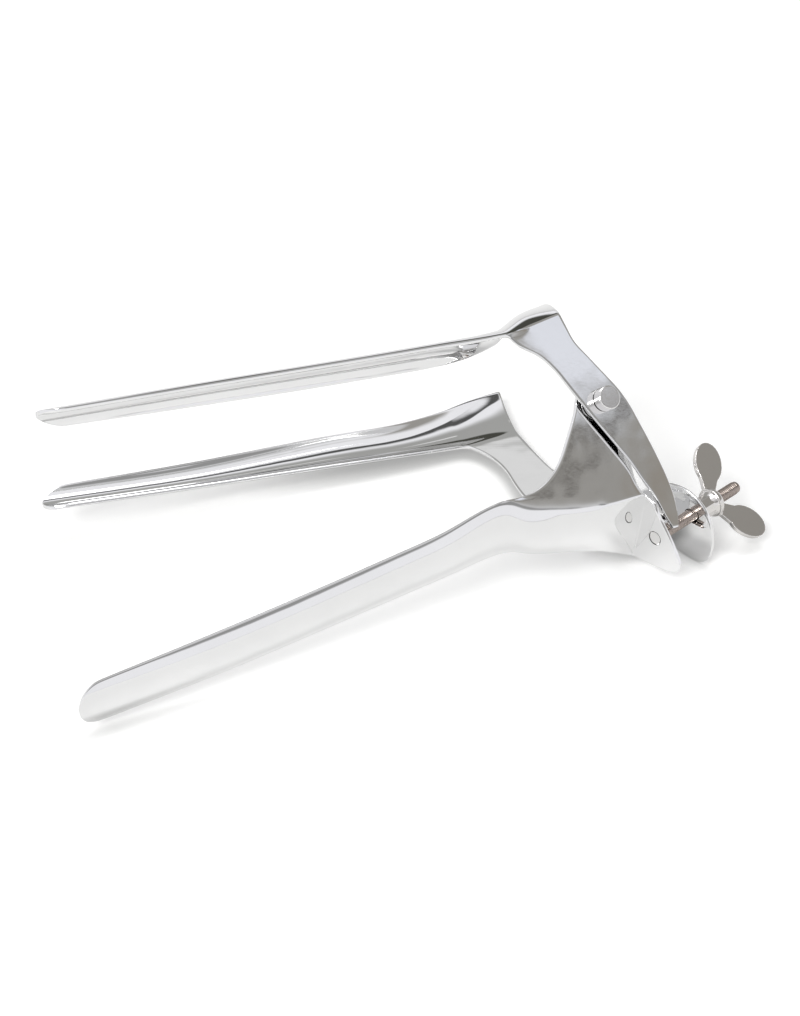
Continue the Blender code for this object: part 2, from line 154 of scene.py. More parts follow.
# Camera, table and lamps
CAMERA_PITCH = 35.0
CAMERA_AWAY = 800.0
FOCAL_PIXELS = 2640.0
PHOTO_WIDTH = 800
SENSOR_WIDTH = 36.0
AIM_RIGHT = -91.8
AIM_UP = 19.1
FLOOR_HALF = 6.0
FLOOR_DROP = 0.0001
FLOOR_LIFT = 0.36
FLOOR_SHINE = 0.19
FLOOR_TONE = (0.76, 0.76, 0.75, 1.0)
# Painted contact shade: the table's colour right under and beside the steel.
PAINTED_CONTACT_SHADE = (0.16, 0.16, 0.15, 1.0)
FLOOR_PLAIN = 0.2
FLOOR_WHITE = 1.0
CONTACT_REACH = 0.007
LAMP_AIM = (0.0, 0.1, 0.0)


def unit(vector):
    return np.asarray(vector, float) / np.linalg.norm(vector)


UP = np.array([0.0, 0.0, 1.0])
PLATE_NORMAL = unit((0.45, -0.61, 0.65))
PLATE_RIGHT = unit(np.cross(UP, PLATE_NORMAL))
PLATE_UP = np.cross(PLATE_NORMAL, PLATE_RIGHT)
SCREW_DIR = unit((1.0, 1.0, 0.0))
EAR_RIGHT = np.cross(SCREW_DIR, UP)
SIDE_EAR = SCREW_FOOT + SCREW_DIR * EAR_SPACING
UPPER_LIFT = SHEET + WASHER + 2 * GAP
TAB_LIFT = WASHER + 2 * GAP
SCREW_SHOULDER = SHEET + GAP + SCREW_COLLAR_TALL
HINGE = SIDE_EAR - SCREW_DIR * HINGE_FROM_EAR - EAR_RIGHT * HINGE_FROM_SCREW
HINGE[2] = ARM_LEVEL
JOINTS = {joint["name"]: joint for joint in frame["joints"]}
SHIFT = np.array(JOINTS["upper_hinge"]["pos_m"]) / MM - PIVOT


def in_frame(point):
    """A point of these sizes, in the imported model's frame and metres."""
    return Vector((np.asarray(point) + SHIFT) * MM)


def on_plate(right, up, lift=0.0):
    return PIVOT + PLATE_RIGHT * right + PLATE_UP * up + PLATE_NORMAL * lift


def on_upper_arm(right, up):
    return on_plate(right, up, UPPER_LIFT)


def on_lower_ear(right, up):
    return SCREW_FOOT + EAR_RIGHT * right + UP * up


def on_side_ear(right, up):
    return SIDE_EAR + EAR_RIGHT * right + UP * up


def on_side_arm(along, side):
    return HINGE + EAR_RIGHT * along + SCREW_DIR * side


def on_tab(along, side):
    return on_side_arm(along, side) + UP * TAB_LIFT


def through(knots, values, places):
    """A smooth curve through values given at knots, read at the places."""
    knots = np.asarray(knots, float)
    values = np.asarray(values, float)
    slopes = np.gradient(values, knots, axis=0)
    result = []
    for place in places:
        i = int(np.clip(np.searchsorted(knots, place) - 1, 0, len(knots) - 2))
        step = knots[i + 1] - knots[i]
        x = (place - knots[i]) / step
        result.append(
            values[i] * (1 + 2 * x) * (1 - x) ** 2
            + slopes[i] * step * x * (1 - x) ** 2
            + values[i + 1] * x * x * (3 - 2 * x)
            + slopes[i + 1] * step * x * x * (x - 1)
        )
    return np.array(result)


def across_blade(blade, faces, side):
    """The direction across a blade that faces a given angle about its length."""
    front = unit((-blade[1], blade[0], 0.0))
    top = np.cross(blade, front)
    turn = math.radians(faces + 90.0 * side)
    return math.cos(turn) * front + math.sin(turn) * top


def tip_share(place, reach):
    """How much of the width is left at a place near the rounded tip."""
    inside = (place - (reach - TIP_ROUND)) / TIP_ROUND
    if inside <= 0:
        return 1.0
    return math.sqrt(max(1 - inside ** 2.2, 0.03))


def stations(heel, reach):
    """Places along a blade: even in the heel and body, closer at the tip."""
    cap = reach - TIP_ROUND * (1 - np.sin(np.linspace(0, math.pi / 2, 8)))
    body = np.linspace(heel, reach - TIP_ROUND, BODY_ROWS)
    return np.concatenate((np.linspace(0, heel, HEEL_ROWS + 1), body[1:], cap[1:]))


def troughs(first, second, depths, shares, side):
    """Arc sections between two edge lines of a blade."""
    middle = (first + second) / 2
    tangents = np.gradient(middle, axis=0)
    sections = []
    for a, b, tangent, depth, share in zip(first, second, tangents, depths, shares):
        half = np.linalg.norm(b - a) / 2
        across = unit(b - a)
        outward = side * unit(np.cross(tangent, across))
        radius = (half ** 2 + depth ** 2) / (2 * depth)
        row = []
        for x in np.linspace(-half, half, COLUMNS + 1) * share:
            rise = math.sqrt(radius ** 2 - x ** 2) - (radius - depth)
            row.append((a + b) / 2 + across * x + outward * rise)
        sections.append(row)
    return sections


def flared_blade(corner, crease, along, faces, side, flare, blade_widths):
    """A straight blade whose root twists and widens toward its arm."""
    heel = float(np.linalg.norm(crease))
    reach = heel + BLADE_LENGTH
    marks = [0, heel * 0.5, heel, heel + 14, heel + 40, heel + 90, reach]
    line = [corner + crease * (1 - m / heel) if m < heel else corner + along * (m - heel) for m in marks]
    wide = np.array([1.0, 0.95, 0.85])
    widths = list(FLARE_WIDTH * wide) + blade_widths
    swings = flare * np.array([1.08, 0.95, 0.5, 0.1, 0.0, 0.0, 0.0])
    leans = FLARE_LEAN * np.array([1.0, 0.5, 0.1, 0.0, 0.0, 0.0, 0.0])
    depths = [HEEL_DEPTH, HEEL_DEPTH * 1.8, BLADE_DEPTH * 0.8] + [BLADE_DEPTH] * 3 + [TIP_DEPTH]
    places = stations(heel, reach)
    first = through(marks, line, places)
    across = across_blade(along, faces, side)
    outward = -side * unit(np.cross(along, across))
    second = first + across * through(marks, widths, places)[:, None]
    second = second + outward * through(marks, swings, places)[:, None]
    second = second - along * through(marks, leans, places)[:, None]
    shares = [tip_share(place, reach) for place in places]
    return troughs(first, second, through(marks, depths, places), shares, -side)


def fan(first_row, firsts, lasts, point, rows):
    """Rows of points that go on from first_row, between two outlines."""
    spans = np.array([np.linalg.norm(q - first_row[0]) for q in first_row])
    shares = spans / spans[-1]
    places = np.linspace(0, len(firsts), rows + 1)
    outlines = []
    for end, side in ((first_row[0], firsts), (first_row[-1], lasts)):
        corners = [end] + [point(*corner) for corner in side]
        outlines.append(through(range(len(corners)), corners, places))
    grid = [list(first_row)]
    for a, b in zip(outlines[0][1:], outlines[1][1:]):
        grid.append([a + (b - a) * share for share in shares])
    return grid


def new_object(name, mesh):
    obj = bpy.data.objects.new(name, mesh)
    bpy.context.scene.collection.objects.link(obj)
    return obj


def mesh_from(bm, name):
    mesh = bpy.data.meshes.new(name)
    bm.to_mesh(mesh)
    bm.free()
    return mesh


def settled(obj, sharp=40.0):
    """Turn an object's modifiers into its mesh, and shade it smooth between edges."""
    graph = bpy.context.evaluated_depsgraph_get()
    mesh = bpy.data.meshes.new_from_object(obj.evaluated_get(graph))
    obj.modifiers.clear()
    obj.data = mesh
    mesh.shade_smooth()
    mesh.set_sharp_from_angle(angle=math.radians(sharp))
    return obj


def skin_mesh(name, grids, facing):
    """Join grids of points into one sheet, and mark its folds for a tight bend."""
    bm = bmesh.new()
    for grid in grids:
        verts = [[bm.verts.new(in_frame(p)) for p in row] for row in grid]
        for near, far in zip(verts, verts[1:]):
            for a, b, c, d in zip(near, near[1:], far[1:], far):
                bm.faces.new((a, b, c, d))
    bmesh.ops.remove_doubles(bm, verts=bm.verts, dist=WELD * MM)
    bmesh.ops.recalc_face_normals(bm, faces=bm.faces)
    total = sum((face.normal * face.calc_area() for face in bm.faces), Vector())
    if total.dot(Vector(facing)) < 0:
        bmesh.ops.reverse_faces(bm, faces=bm.faces)
    crease = bm.edges.layers.float.new("crease_edge")
    for edge in bm.edges:
        if len(edge.link_faces) == 2 and edge.calc_face_angle() > math.radians(FOLD_ANGLE):
            edge[crease] = FOLD_CREASE
    return mesh_from(bm, name)


def pressed_sheet(name, grids, facing):
    """A sheet of steel with its thickness, rounded folds and rounded rims."""
    obj = new_object(name, skin_mesh(name, grids, facing))
    wall = obj.modifiers.new("wall", "SOLIDIFY")
    wall.thickness = SHEET * MM
    wall.offset = -1.0
    wall.edge_crease_inner = RIM_CREASE
    wall.edge_crease_outer = RIM_CREASE
    smooth = obj.modifiers.new("smooth", "SUBSURF")
    smooth.levels = 2
    smooth.render_levels = 2
    return settled(obj)


def turn_to(right, direction, origin):
    """The matrix whose x runs along right and z along direction, at an origin."""
    z = Vector(direction)
    x = Vector(right)
    turn = Matrix((x, z.cross(x), z)).transposed().to_4x4()
    return Matrix.Translation(in_frame(origin)) @ turn


def slot_outline(diameter, travel=0.0):
    points = []
    half = ROUND_STEPS // 2
    for centre, first in ((travel, -math.pi / 2), (0.0, math.pi / 2)):
        for i in range(half):
            angle = first + math.pi * (i + 0.5) / half
            points.append((centre + diameter / 2 * math.cos(angle), diameter / 2 * math.sin(angle), 0.0))
    return points


def prism_mesh(name, outline, depth):
    """An outline drawn out both ways along a depth."""
    bm = bmesh.new()
    shift = Vector(depth) * MM
    base = [bm.verts.new(Vector(p) * MM - shift / 2) for p in outline]
    face = bm.faces.new(base)
    grown = bmesh.ops.extrude_face_region(bm, geom=[face])["geom"]
    moved = [item for item in grown if isinstance(item, bmesh.types.BMVert)]
    bmesh.ops.translate(bm, verts=moved, vec=shift)
    bmesh.ops.recalc_face_normals(bm, faces=bm.faces)
    return mesh_from(bm, name)


def drill(obj, diameter, place, travel=0.0, depth=4 * SHEET):
    """Cut a round hole or a slot through a finished piece."""
    mesh = prism_mesh("drill", slot_outline(diameter, travel), (0, 0, depth))
    mesh.transform(place)
    cutter = new_object("drill", mesh)
    cut = obj.modifiers.new("hole", "BOOLEAN")
    cut.object = cutter
    cut.operation = "DIFFERENCE"
    cut.solver = "EXACT"
    settled(obj)
    bpy.data.objects.remove(cutter, do_unlink=True)


def upper_blade():
    corner = on_upper_arm(-22.6, 28.5)
    crease = on_upper_arm(-2.5, 28.8) - corner
    sections = flared_blade(corner, crease, unit(UPPER_ALONG), UPPER_FACES, 1, UPPER_FLARE, UPPER_WIDTHS)
    first_row = [row[0] for row in sections[:HEEL_ROWS + 1]][::-1]
    inner = [(-19.8, 23.7), (-14.9, 19.2), (-11.6, 13.6), (-9.7, 8.2), (-7.6, 2.2),
             (-5.6, -3.4), (-3.4, -9.2), (-1.2, -15.0), (0.9, -20.8), (2.2, -26.5),
             (3.8, -32.2), (4.5, -38.0), (5.5, -43.2)]
    outer = [(-2.0, 24.0), (-1.4, 19.0), (1.1, 13.4), (4.0, 7.0), (6.5, 1.4),
             (8.1, -4.4), (8.9, -10.6), (9.6, -16.4), (10.1, -22.2), (10.4, -28.8),
             (10.0, -34.8), (8.7, -40.0), (7.2, -43.4)]
    arm = fan(first_row, inner, outer, on_upper_arm, UPPER_ARM_ROWS)
    blade = pressed_sheet("polished_upper_blade", [sections, arm], PLATE_NORMAL)
    drill(blade, PIVOT_SHANK + 2 * GAP, turn_to(PLATE_RIGHT, PLATE_NORMAL, on_upper_arm(0, 0)))
    return blade


def lower_blade():
    along = unit(LOWER_ALONG)
    across = across_blade(along, LOWER_FACES, -1)
    corner = on_plate(-44.6, -15.6)
    heel = LOWER_HEEL
    reach = heel + LOWER_LENGTH
    marks = [0, 16, 30, 38, heel, heel + 14, heel + 40, heel + 90, reach]
    far_heel = corner + across * FLARE_WIDTH * 0.93
    creases = [(2.3, -30.7), (-14.6, -28.9), (-28.0, -24.6), (-37.4, -20.1), (-44.6, -15.6)]
    rims = [on_lower_ear(-8.3, -10.6), np.array([-31.8, -6.2, 11.7]), np.array([-43.9, -12.8, 16.0]),
            np.array([-53.0, -17.8, 18.9]), far_heel]
    widths = [LOWER_WIDTH * 1.06, LOWER_WIDTH, LOWER_WIDTH * 0.97, LOWER_WIDTH * 0.9]
    far_line = [far_heel + along * (mark - heel) for mark in marks[5:]]
    far_line[-1] = far_line[-1] + UP * TIP_LIFT
    near_line = [far - across * width for far, width in zip(far_line, widths)]
    places = stations(heel, reach)
    first = through(marks, [on_plate(*c) for c in creases] + near_line, places)
    second = through(marks, rims + far_line, places)
    depths = through(marks, [0.6, 1.2, 2.0, 2.8] + [BLADE_DEPTH] * 4 + [TIP_DEPTH], places)
    shares = [tip_share(place_at, reach) for place_at in places]
    sections = troughs(first, second, depths, shares, 1)

    crease = [row[0] for row in sections[:HEEL_ROWS + 1]][::-1]
    left = [(-35.3, -17.0), (-27.9, -15.8), (-21.6, -12.2), (-15.6, -6.6), (-9.6, -0.4),
            (-6.6, 3.8), (-2.6, 7.2)]
    right = [(1.4, -26.0), (2.2, -21.0), (3.6, -15.4), (5.8, -9.4), (7.4, -2.6),
             (6.6, 3.8), (2.6, 7.2)]
    plate = fan(crease, left, right, on_plate, PLATE_ROWS)

    tops = [(-1.2, 11.3), (1.6, 7.2), (4.2, 4.0), (6.8, 0.5), (8.9, -2.8), (10.1, -5.0)]
    bottoms = [(-4.4, -10.5), (-0.6, -10.3), (3.2, -10.0), (6.4, -9.4), (8.6, -8.4), (9.8, -6.9)]
    ear = fan(sections[0], tops, bottoms, on_lower_ear, EAR_ROWS)

    rim = [row[-1] for row in sections[:HEEL_ROWS // 3 + 1]][::-1]
    near = [(-12.0, -14.0), (-7.5, -8.0), (-6.2, -2.0), (-3.5, 3.2)]
    far = [(1.0, -11.5), (4.6, -6.5), (5.6, -1.0), (3.2, 4.0)]
    tab = fan(rim, near, far, on_tab, TAB_ROWS)

    blade = pressed_sheet("polished_lower_blade", [sections, plate, ear, tab], -UP - SCREW_DIR)
    drill(blade, PIVOT_SHANK + 2 * GAP, turn_to(PLATE_RIGHT, PLATE_NORMAL, PIVOT))
    drill(blade, SCREW_DIAMETER + 2 * GAP, turn_to(EAR_RIGHT, SCREW_DIR, SCREW_FOOT))
    drill(blade, HINGE_SHANK + 2 * GAP, turn_to(EAR_RIGHT, UP, on_tab(0, 0)))
    return blade


def side_blade():
    corner = on_side_arm(-72.1, -3.4)
    crease = on_side_arm(-65.5, 14.0) - corner
    sections = flared_blade(corner, crease, unit(SIDE_ALONG), SIDE_FACES, -1, SIDE_FLARE, SIDE_WIDTHS)
    first_row = [row[0] for row in sections[:HEEL_ROWS + 1]][::-1]
    left = [(-66.0, -2.4), (-60.0, -2.6), (-53.0, -4.6), (-46.0, -8.2), (-38.0, -11.6),
            (-30.0, -12.6), (-21.0, -11.6), (-12.0, -9.4), (-4.0, -6.6), (3.0, -5.2), (6.0, -2.4)]
    right = [(-58.0, 11.2), (-52.0, 9.0), (-45.0, 6.8), (-38.0, 5.5), (-30.0, HINGE_FROM_EAR),
             (-22.0, HINGE_FROM_EAR), (-16.0, HINGE_FROM_EAR), (-10.0, HINGE_FROM_EAR),
             (-4.0, HINGE_FROM_EAR), (3.0, 4.4), (6.0, 1.6)]
    arm = fan(first_row, left, right, on_side_arm, SIDE_ARM_ROWS)

    fold = [arm[i][-1] for i in range(*SIDE_EAR_FOLD)]
    tops = [(-27.0, -6.0), (-20.0, -0.6), (-14.0, 4.6), (-8.3, 7.5), (-2.0, 8.0),
            (3.8, 5.6), (7.4, 1.0), (8.9, -5.0), (8.6, -9.0)]
    bottoms = [(-15.5, -12.0), (-12.0, -13.2), (-8.0, -14.2), (-4.0, -15.0), (-0.6, -15.4),
               (2.6, -15.5), (5.2, -14.8), (7.2, -13.2), (8.1, -11.4)]
    ear = fan(fold, tops, bottoms, on_side_ear, SIDE_EAR_ROWS)

    blade = pressed_sheet("polished_side_blade", [sections, arm, ear], UP - SCREW_DIR)
    drill(blade, HINGE_SHANK + 2 * GAP, turn_to(EAR_RIGHT, UP, HINGE))
    drill(blade, SCREW_DIAMETER + 2 * GAP, turn_to(EAR_RIGHT, SCREW_DIR, SIDE_EAR), SLOT_TRAVEL)
    return blade


def turned(name, profile, place, closed=False):
    """A turned piece: a profile of radius and height, from the top down."""
    mesh = bpy.data.meshes.new(name)
    edges = [(i, i + 1) for i in range(len(profile) - 1)]
    if closed:
        edges.append((len(profile) - 1, 0))
    mesh.from_pydata([(r * MM, 0.0, h * MM) for r, h in profile], edges, [])
    obj = new_object(name, mesh)
    spin = obj.modifiers.new("turn", "SCREW")
    spin.steps = ROUND_STEPS
    spin.render_steps = ROUND_STEPS
    spin.use_merge_vertices = True
    spin.merge_threshold = 0.000001
    settled(obj)
    obj.data.transform(place)
    return settled(obj)


def eased(radius, height, ease, down=True):
    """A rounded corner on a turned profile, with a narrow flat band on both sides."""
    side = 1 if down else -1
    middle = height - side * ease
    points = [(radius - 1.3 * ease, height)]
    for angle in np.radians(np.linspace(90, 0, 5)):
        points.append((radius - ease + ease * math.cos(angle), middle + side * ease * math.sin(angle)))
    points.append((radius, middle - side * 0.3 * ease))
    return points if down else points[::-1]


def pivot_rivet():
    low = UPPER_LIFT + GAP
    top = low + PIVOT_HEAD_TALL
    under = -SHEET - GAP
    bottom = under - PIVOT_TAIL_TALL
    head = PIVOT_HEAD / 2
    shank = PIVOT_SHANK / 2
    profile = [(0, top)] + eased(head, top, 0.35) + eased(head, low, 0.1, False)
    tail = shank + PIVOT_TAIL_RIM
    profile += [(shank, low), (shank, under), (tail, under)]
    profile += eased(tail, bottom, 0.4, False) + [(0, bottom)]
    return turned("polished_pivot_rivet", profile, turn_to(PLATE_RIGHT, PLATE_NORMAL, PIVOT))


def ring(name, inner, outer, low, place):
    """A flat washer with eased rims."""
    high = low + WASHER
    profile = [(inner, high)] + eased(outer, high, 0.15) + eased(outer, low, 0.15, False) + [(inner, low)]
    return turned(name, profile, place, True)


def hinge_rivet():
    low = TAB_LIFT + SHEET + GAP
    top = low + HINGE_HEAD_TALL
    under = -SHEET - GAP
    bottom = under - HINGE_HEAD_TALL
    head = HINGE_HEAD / 2
    shank = HINGE_SHANK / 2
    profile = [(0, top)] + eased(head, top, 0.4) + [(head, low), (shank, low), (shank, under), (head, under)]
    profile += eased(head, bottom, 0.4, False) + [(0, bottom)]
    return turned("polished_hinge_rivet", profile, turn_to(EAR_RIGHT, UP, HINGE))


def screw_core():
    """The screw without its thread: a riveted foot, a collar and a rounded end."""
    radius = SCREW_DIAMETER / 2
    root = radius - THREAD_DEPTH
    collar = SHEET + GAP
    profile = [(0, SCREW_LENGTH)] + eased(root, SCREW_LENGTH, 0.8)
    profile += [(root, SCREW_SHOULDER)] + eased(SCREW_COLLAR / 2, SCREW_SHOULDER, 0.2)
    profile += [(SCREW_COLLAR / 2, collar), (radius, collar), (radius, 0.1), (0, 0.1)]
    return turned("polished_screw", profile, turn_to(EAR_RIGHT, SCREW_DIR, SCREW_FOOT))


def darken_past_collar(screw, dark):
    """Give the screw darker steel from the collar's end outwards: partly the stud's own brown steel, partly
    painted shade where it runs between the ears.
    """
    screw.data.materials.append(dark)
    collar_end = SCREW_FOOT + SCREW_DIR * (SCREW_SHOULDER - 0.1)
    for face in screw.data.polygons:
        if (face.center - in_frame(collar_end)).dot(Vector(SCREW_DIR)) > 0:
            face.material_index = 1


def socket_of(tree, name):
    """The identifier of a node tree's input, found by its name."""
    for item in tree.interface.items_tree:
        if item.name == name and item.in_out == "INPUT":
            return item.identifier
    return None


def thread_tree(material):
    """Geometry Nodes that wind a thread's ridge round the z axis."""
    tree = bpy.data.node_groups.new("thread_ridge", "GeometryNodeTree")
    for name in ("Radius", "Pitch", "Length", "Ridge"):
        tree.interface.new_socket(name, in_out="INPUT", socket_type="NodeSocketFloat")
    tree.interface.new_socket("Geometry", in_out="OUTPUT", socket_type="NodeSocketGeometry")
    nodes = tree.nodes
    links = tree.links
    sizes = nodes.new("NodeGroupInput")
    turns = nodes.new("ShaderNodeMath")
    turns.operation = "DIVIDE"
    links.new(sizes.outputs["Length"], turns.inputs[0])
    links.new(sizes.outputs["Pitch"], turns.inputs[1])
    spiral = nodes.new("GeometryNodeCurveSpiral")
    spiral.inputs["Resolution"].default_value = 40
    spiral.inputs["Reverse"].default_value = True
    links.new(turns.outputs[0], spiral.inputs["Rotations"])
    links.new(sizes.outputs["Radius"], spiral.inputs["Start Radius"])
    links.new(sizes.outputs["Radius"], spiral.inputs["End Radius"])
    links.new(sizes.outputs["Length"], spiral.inputs["Height"])
    ridge = nodes.new("GeometryNodeCurvePrimitiveCircle")
    ridge.inputs["Resolution"].default_value = 8
    links.new(sizes.outputs["Ridge"], ridge.inputs["Radius"])
    sweep = nodes.new("GeometryNodeCurveToMesh")
    sweep.inputs["Fill Caps"].default_value = True
    links.new(spiral.outputs[0], sweep.inputs["Curve"])
    links.new(ridge.outputs[0], sweep.inputs["Profile Curve"])
    real = nodes.new("GeometryNodeRealizeInstances")
    links.new(sweep.outputs[0], real.inputs[0])
    finish = nodes.new("GeometryNodeSetMaterial")
    finish.inputs["Material"].default_value = material
    links.new(real.outputs[0], finish.inputs["Geometry"])
    result = nodes.new("NodeGroupOutput")
    links.new(finish.outputs[0], result.inputs["Geometry"])
    return tree


def screw_thread(material):
    length = SCREW_LENGTH - SCREW_SHOULDER - THREAD_SHORT
    obj = new_object("screw_thread", bpy.data.meshes.new("screw_thread"))
    wind = obj.modifiers.new("thread", "NODES")
    wind.node_group = thread_tree(material)
    values = {
        "Radius": (SCREW_DIAMETER / 2 - THREAD_RIDGE) * MM,
        "Pitch": THREAD_PITCH * MM,
        "Length": length * MM,
        "Ridge": THREAD_RIDGE * MM,
    }
    for name, value in values.items():
        wind[socket_of(wind.node_group, name)] = value
    settled(obj, 60.0)
    start = SCREW_FOOT + SCREW_DIR * (SCREW_SHOULDER + THREAD_START)
    obj.data.transform(turn_to(EAR_RIGHT, SCREW_DIR, start))
    return obj


def paddle_mesh(turn):
    """One thumb wing with its neck, standing out from the hub."""
    out = np.array([math.cos(turn), math.sin(turn), 0.0])
    broad = np.array([-math.sin(turn), math.cos(turn), 0.0])
    slope = math.radians(WING_SLOPE)
    reach = out * math.cos(slope) + UP * math.sin(slope)
    rise = UP * math.cos(slope) - out * math.sin(slope)
    centre = out * WING_RADIUS + UP * WING_RISE
    paddle = [(-WING_REACH, -WING_NECK / 2)]
    for angle in np.radians(np.linspace(-140, 140, 41)):
        paddle.append((WING_LENGTH / 2 * math.cos(angle), WING_WIDTH / 2 * math.sin(angle)))
    paddle.append((-WING_REACH, WING_NECK / 2))
    outline = [centre + reach * a + rise * b for a, b in paddle]
    return prism_mesh("paddle", outline, broad * WING_THICK)


def faceted_neck():
    """The nut's neck, with flats filed along it."""
    outline = []
    for angle in np.radians(np.arange(0, 360, 360 / NECK_FLATS)):
        outline.append((HUB_FOOT / 2 * math.cos(angle), HUB_FOOT / 2 * math.sin(angle), HUB_LENGTH * 0.3))
    return prism_mesh("neck", outline, (0, 0, HUB_LENGTH * 0.6))


def nut_seat():
    return SIDE_EAR + SCREW_DIR * (SHEET + GAP)


def wing_nut():
    """Hub and wings cast as one, with soft joins."""
    place = turn_to(EAR_RIGHT, SCREW_DIR, nut_seat() + SCREW_DIR * (WASHER + GAP))
    edge = HUB_RING / 2
    inner = HUB_FOOT / 2 - NECK_STEP
    foot = HUB_LENGTH - RING_FOOT
    profile = [(0, HUB_LENGTH)] + eased(edge - RING_STEP, HUB_LENGTH, 0.4)
    profile += eased(edge, HUB_LENGTH - RING_TOP, 0.3)
    profile += eased(edge, foot, 0.3, False) + [(inner + 0.6, foot - 0.1)]
    profile += [(inner, HUB_LENGTH / 2), (inner, 0), (0, 0)]
    obj = turned("polished_wing_nut", profile, Matrix.Identity(4))
    joined = [paddle_mesh(math.radians(turn)) for turn in (WING_TURN, WING_TURN + 180)]
    for mesh in [faceted_neck()] + joined:
        member = new_object("member", mesh)
        join = obj.modifiers.new("join", "BOOLEAN")
        join.object = member
        join.operation = "UNION"
        join.solver = "EXACT"
        settled(obj)
        bpy.data.objects.remove(member, do_unlink=True)
    cast = obj.modifiers.new("cast", "REMESH")
    cast.mode = "VOXEL"
    cast.voxel_size = CAST_VOXEL * MM
    soft = obj.modifiers.new("soft", "SMOOTH")
    soft.factor = 0.5
    soft.iterations = CAST_SOFTENING
    settled(obj)
    drill(obj, SCREW_DIAMETER + 2 * GAP, Matrix.Identity(4), 0.0, 3 * HUB_LENGTH)
    obj.data.transform(place)
    return settled(obj, 50.0)


def node_of(tree, kind, **values):
    node = tree.nodes.new(kind)
    for name, value in values.items():
        node.inputs[name].default_value = value
    return node


def polished_steel(name, colour, roughness, wave, scratch):
    """Polished steel: soft waves in the sheet, buffing marks and handling haze."""
    material = bpy.data.materials.new(name)
    material.use_nodes = True
    tree = material.node_tree
    shader = tree.nodes["Principled BSDF"]
    shader.inputs["Metallic"].default_value = 1.0
    place = tree.nodes.new("ShaderNodeTexCoord")

    haze = node_of(tree, "ShaderNodeTexNoise", Scale=38.0, Detail=5.0, Roughness=0.6)
    tree.links.new(place.outputs["Object"], haze.inputs["Vector"])
    tint = tree.nodes.new("ShaderNodeValToRGB")
    tint.color_ramp.elements[0].position = 0.3
    tint.color_ramp.elements[0].color = tuple(c * 0.955 for c in colour) + (1.0,)
    tint.color_ramp.elements[1].position = 0.7
    tint.color_ramp.elements[1].color = tuple(colour) + (1.0,)
    tree.links.new(haze.outputs["Fac"], tint.inputs["Fac"])
    tree.links.new(tint.outputs["Color"], shader.inputs["Base Color"])

    stretch = tree.nodes.new("ShaderNodeMapping")
    stretch.inputs["Scale"].default_value = (60.0, 900.0, 900.0)
    stretch.inputs["Rotation"].default_value = (0.0, 0.0, math.radians(-22))
    tree.links.new(place.outputs["Object"], stretch.inputs["Vector"])
    marks = node_of(tree, "ShaderNodeTexNoise", Scale=1.6, Detail=4.0, Roughness=0.7)
    tree.links.new(stretch.outputs["Vector"], marks.inputs["Vector"])
    polish = tree.nodes.new("ShaderNodeMapRange")
    polish.inputs["From Min"].default_value = 0.35
    polish.inputs["From Max"].default_value = 0.75
    polish.inputs["To Min"].default_value = roughness
    polish.inputs["To Max"].default_value = roughness * 2.2
    tree.links.new(marks.outputs["Fac"], polish.inputs["Value"])
    tree.links.new(polish.outputs["Result"], shader.inputs["Roughness"])

    waves = node_of(tree, "ShaderNodeTexNoise", Scale=55.0, Detail=2.0, Roughness=0.4)
    tree.links.new(place.outputs["Object"], waves.inputs["Vector"])
    low = node_of(tree, "ShaderNodeBump", Strength=1.0, Distance=wave)
    tree.links.new(waves.outputs["Fac"], low.inputs["Height"])
    fine = node_of(tree, "ShaderNodeBump", Strength=1.0, Distance=scratch)
    tree.links.new(marks.outputs["Fac"], fine.inputs["Height"])
    tree.links.new(low.outputs["Normal"], fine.inputs["Normal"])
    tree.links.new(fine.outputs["Normal"], shader.inputs["Normal"])
    return material


def dress(obj, material, body, node):
    obj.data.materials.clear()
    obj.data.materials.append(material)
    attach(obj, body)
    if node:
        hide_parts(node)


